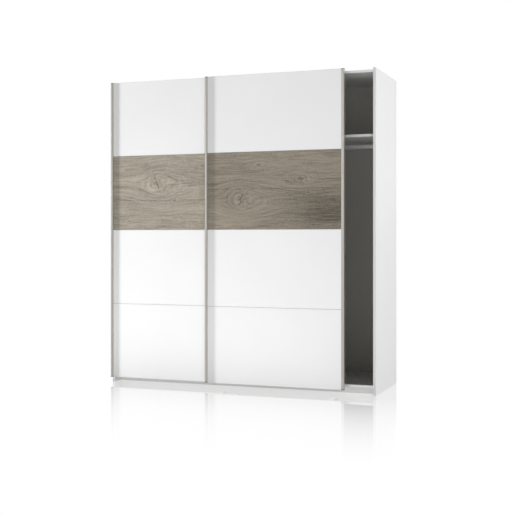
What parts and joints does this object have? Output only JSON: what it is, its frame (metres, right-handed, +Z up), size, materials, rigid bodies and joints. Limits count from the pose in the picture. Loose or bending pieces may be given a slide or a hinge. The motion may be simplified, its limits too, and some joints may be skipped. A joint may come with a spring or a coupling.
{
  "type": "sliding door wardrobe",
  "caption": "Free-standing wardrobe with a boarded carcass, hat shelves, hanging rails and a pair of top-hung sliding doors that pass in front of each other, each with a wood-look band.",
  "frame": {"origin": "on the floor, at the centre of the overall width and depth, with the front door's edge profile as the front", "axes": "+X to the right seen from the front, +Y from the doors towards the back panels, +Z up"},
  "size_m": [1.8, 0.646, 2],
  "materials": {
    "side_white": "melamine-faced chipboard, fine satin white, edges banded in white",
    "carcass_white": "melamine-faced chipboard, matt white",
    "door_white": "melamine-faced door panel, satin white",
    "wood_decor": "driftwood oak decor foil, horizontal grain with knots, lightly embossed",
    "back_hardboard": "thin hardboard, white printed face, brown rear face",
    "white_plastic": "white plastic, extruded or moulded",
    "seam_grey": "grey extruded plastic strip",
    "profile_aluminium": "satin anodised aluminium, drawn lengthwise",
    "track_aluminium": "pale anodised aluminium extrusion",
    "hanger_steel": "zinc-plated sheet steel",
    "rail_metal": "satin nickel-plated oval steel tube",
    "support_metal": "satin nickel-plated die casting",
    "roller_nylon": "off-white nylon",
    "grey_plastic": "moulded grey plastic"
  },
  "bodies": {
    "carcass": {"side_left": "side_white", "side_right": "side_white", "top_board": "carcass_white", "bottom_board": "carcass_white", "partition": "carcass_white", "plinth_front": "carcass_white", "plinth_middle": "carcass_white", "plinth_rear": "carcass_white", "back_panel_left": "back_hardboard", "back_panel_right": "back_hardboard", "back_joint_strip": "white_plastic", "hat_shelf_left": "carcass_white", "hat_shelf_right": "carcass_white", "hanging_rail_left": "rail_metal", "hanging_rail_right": "rail_metal", "rail_support_1": "support_metal", "rail_support_2": "support_metal", "rail_support_3": "support_metal", "rail_support_4": "support_metal", "top_track": "track_aluminium", "bottom_guide_rail": "track_aluminium", "track_stop_1": "grey_plastic", "track_stop_2": "grey_plastic", "track_stop_3": "grey_plastic", "track_stop_4": "grey_plastic"},
    "left_door": {"left_door_panel_top": "door_white", "left_door_panel_band": "wood_decor", "left_door_panel_lower": "door_white", "left_door_panel_bottom": "door_white", "left_door_joint_strip_1": "seam_grey", "left_door_joint_strip_2": "seam_grey", "left_door_joint_strip_3": "seam_grey", "left_door_edge_profile_left": "profile_aluminium", "left_door_edge_profile_right": "profile_aluminium", "left_door_hanger_1": "hanger_steel", "left_door_hanger_2": "hanger_steel", "left_door_guide_1": "white_plastic", "left_door_guide_2": "white_plastic"},
    "left_door_roller_1": {"left_door_roller_1": "roller_nylon"},
    "left_door_roller_2": {"left_door_roller_2": "roller_nylon"},
    "right_door": {"right_door_panel_top": "door_white", "right_door_panel_band": "wood_decor", "right_door_panel_lower": "door_white", "right_door_panel_bottom": "door_white", "right_door_joint_strip_1": "seam_grey", "right_door_joint_strip_2": "seam_grey", "right_door_joint_strip_3": "seam_grey", "right_door_edge_profile_left": "profile_aluminium", "right_door_edge_profile_right": "profile_aluminium", "right_door_hanger_1": "hanger_steel", "right_door_hanger_2": "hanger_steel", "right_door_guide_1": "white_plastic", "right_door_guide_2": "white_plastic"},
    "right_door_roller_1": {"right_door_roller_1": "roller_nylon"},
    "right_door_roller_2": {"right_door_roller_2": "roller_nylon"}
  },
  "joints": [
    {"name": "left_door_slide", "type": "slide", "parent": "carcass", "child": "left_door", "axis": [1, 0, 0], "range_m": [0, 0.879]},
    {"name": "right_door_slide", "type": "slide", "parent": "carcass", "child": "right_door", "axis": [1, 0, 0], "range_m": [-0.695, 0.184]},
    {"name": "left_door_roller_1_spin", "type": "hinge", "parent": "left_door", "child": "left_door_roller_1", "pos_m": [-0.81, -0.2407, 1.985], "axis": [0, 1, 0], "continuous": true},
    {"name": "left_door_roller_2_spin", "type": "hinge", "parent": "left_door", "child": "left_door_roller_2", "pos_m": [-0.069, -0.2407, 1.985], "axis": [0, 1, 0], "continuous": true},
    {"name": "right_door_roller_1_spin", "type": "hinge", "parent": "right_door", "child": "right_door_roller_1", "pos_m": [-0.115, -0.2217, 1.985], "axis": [0, 1, 0], "continuous": true},
    {"name": "right_door_roller_2_spin", "type": "hinge", "parent": "right_door", "child": "right_door_roller_2", "pos_m": [0.626, -0.2217, 1.985], "axis": [0, 1, 0], "continuous": true}
  ],
  "couplings": [
    {"joint": "left_door_roller_1_spin", "follows": "left_door_slide", "rad_per_m": 125},
    {"joint": "left_door_roller_2_spin", "follows": "left_door_slide", "rad_per_m": 125},
    {"joint": "right_door_roller_1_spin", "follows": "right_door_slide", "rad_per_m": 125},
    {"joint": "right_door_roller_2_spin", "follows": "right_door_slide", "rad_per_m": 125}
  ]
}
